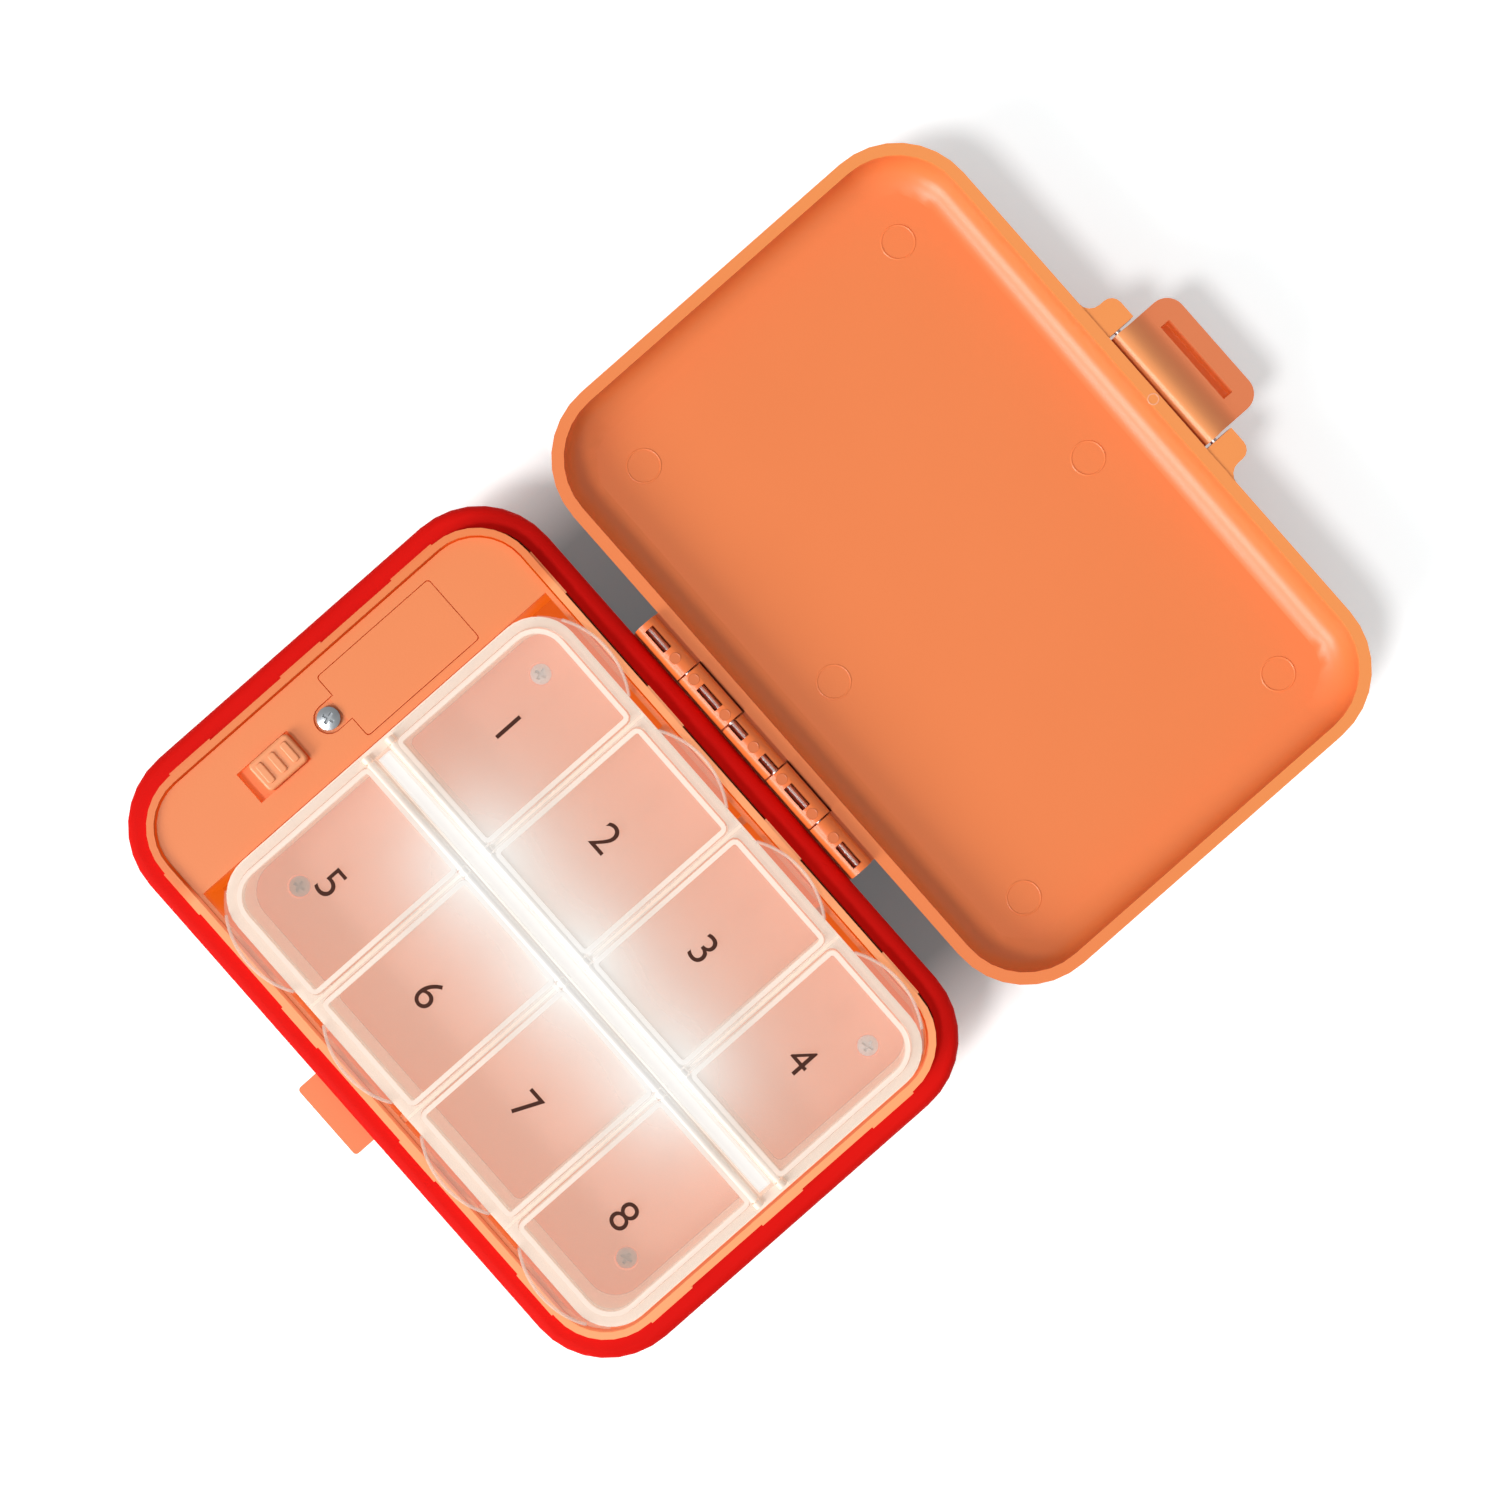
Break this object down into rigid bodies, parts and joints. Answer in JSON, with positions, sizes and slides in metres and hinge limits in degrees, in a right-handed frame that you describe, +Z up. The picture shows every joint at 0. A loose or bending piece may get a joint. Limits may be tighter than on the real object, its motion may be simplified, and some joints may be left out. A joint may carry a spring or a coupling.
{
  "type": "light-up pill case",
  "caption": "Hinged travel case for daily pills, lying open, with a lift-out tray of flip-lid compartments, a lit centre bar, a sealing band and a snap latch.",
  "frame": {"origin": "centre of the base's flat underside", "axes": "+Z up, +X across the hinge towards the open lid, +Y along the hinge towards the battery deck"},
  "size_m": [0.1953, 0.1264, 0.0255],
  "materials": {
    "orange_plastic": "fine matt moulded orange plastic",
    "red_silicone": "matt red silicone rubber",
    "frosted_plastic": "frosted translucent polypropylene",
    "light_diffuser": "milky light diffuser, lit",
    "steel": "bright steel",
    "zinc": "zinc-plated steel",
    "contact_metal": "plated contact metal",
    "circuit_board": "green circuit board",
    "led_package": "white light-emitting diode",
    "switch_housing": "black switch housing",
    "wire_insulation": "thin insulated lead"
  },
  "bodies": {
    "base": {"base_shell": "orange_plastic", "seal_band": "red_silicone", "inner_frame": "orange_plastic", "battery_door": "orange_plastic", "battery_door_screw": "zinc", "frame_screw_1": "zinc", "frame_screw_2": "zinc", "frame_screw_3": "zinc", "frame_screw_4": "zinc", "button_cell_1": "steel", "button_cell_2": "steel", "cell_contact_1": "contact_metal", "cell_contact_2": "contact_metal", "cell_link": "contact_metal", "light_board": "circuit_board", "led_1": "led_package", "led_2": "led_package", "led_3": "led_package", "light_bar": "light_diffuser", "switch_body": "switch_housing", "wire_cell_to_board": "wire_insulation", "wire_cell_to_switch": "wire_insulation", "wire_switch_to_board": "wire_insulation", "hinge_pin": "steel"},
    "switch": {"switch_knob": "orange_plastic"},
    "lid": {"lid_shell": "orange_plastic", "latch_pin": "steel"},
    "latch": {"latch": "orange_plastic"},
    "organizer": {"organizer_tray": "frosted_plastic"},
    "flip_1": {"flip_lid_1": "frosted_plastic"},
    "flip_2": {"flip_lid_2": "frosted_plastic"},
    "flip_3": {"flip_lid_3": "frosted_plastic"},
    "flip_4": {"flip_lid_4": "frosted_plastic"},
    "flip_5": {"flip_lid_5": "frosted_plastic"},
    "flip_6": {"flip_lid_6": "frosted_plastic"},
    "flip_7": {"flip_lid_7": "frosted_plastic"},
    "flip_8": {"flip_lid_8": "frosted_plastic"}
  },
  "joints": [
    {"name": "lid_hinge", "type": "hinge", "parent": "base", "child": "lid", "pos_m": [0.046, 0, 0.02065], "axis": [0, -1, 0], "range_deg": [0, 180]},
    {"name": "latch_hinge", "type": "hinge", "parent": "lid", "child": "latch", "pos_m": [0.1362, -0.0003, 0.0185], "axis": [0, -1, 0], "range_deg": [0, 90]},
    {"name": "switch_slide", "type": "slide", "parent": "base", "child": "switch", "axis": [-1, 0, 0], "range_m": [0, 0.0022]},
    {"name": "organizer_lift", "type": "slide", "parent": "base", "child": "organizer", "axis": [0, 0, -1], "range_m": [-0.025, 0]},
    {"name": "flip_hinge_1", "type": "hinge", "parent": "organizer", "child": "flip_1", "pos_m": [0.0025, 0.0278, 0.02475], "axis": [0, 1, 0], "range_deg": [-90, 0]},
    {"name": "flip_hinge_2", "type": "hinge", "parent": "organizer", "child": "flip_2", "pos_m": [0.0025, 0.0038, 0.02475], "axis": [0, 1, 0], "range_deg": [-90, 0]},
    {"name": "flip_hinge_3", "type": "hinge", "parent": "organizer", "child": "flip_3", "pos_m": [0.0025, -0.0202, 0.02475], "axis": [0, 1, 0], "range_deg": [-90, 0]},
    {"name": "flip_hinge_4", "type": "hinge", "parent": "organizer", "child": "flip_4", "pos_m": [0.0025, -0.0442, 0.02475], "axis": [0, 1, 0], "range_deg": [-90, 0]},
    {"name": "flip_hinge_5", "type": "hinge", "parent": "organizer", "child": "flip_5", "pos_m": [-0.0025, 0.0278, 0.02475], "axis": [0, -1, 0], "range_deg": [-90, 0]},
    {"name": "flip_hinge_6", "type": "hinge", "parent": "organizer", "child": "flip_6", "pos_m": [-0.0025, 0.0038, 0.02475], "axis": [0, -1, 0], "range_deg": [-90, 0]},
    {"name": "flip_hinge_7", "type": "hinge", "parent": "organizer", "child": "flip_7", "pos_m": [-0.0025, -0.0202, 0.02475], "axis": [0, -1, 0], "range_deg": [-90, 0]},
    {"name": "flip_hinge_8", "type": "hinge", "parent": "organizer", "child": "flip_8", "pos_m": [-0.0025, -0.0442, 0.02475], "axis": [0, -1, 0], "range_deg": [-90, 0]}
  ]
}
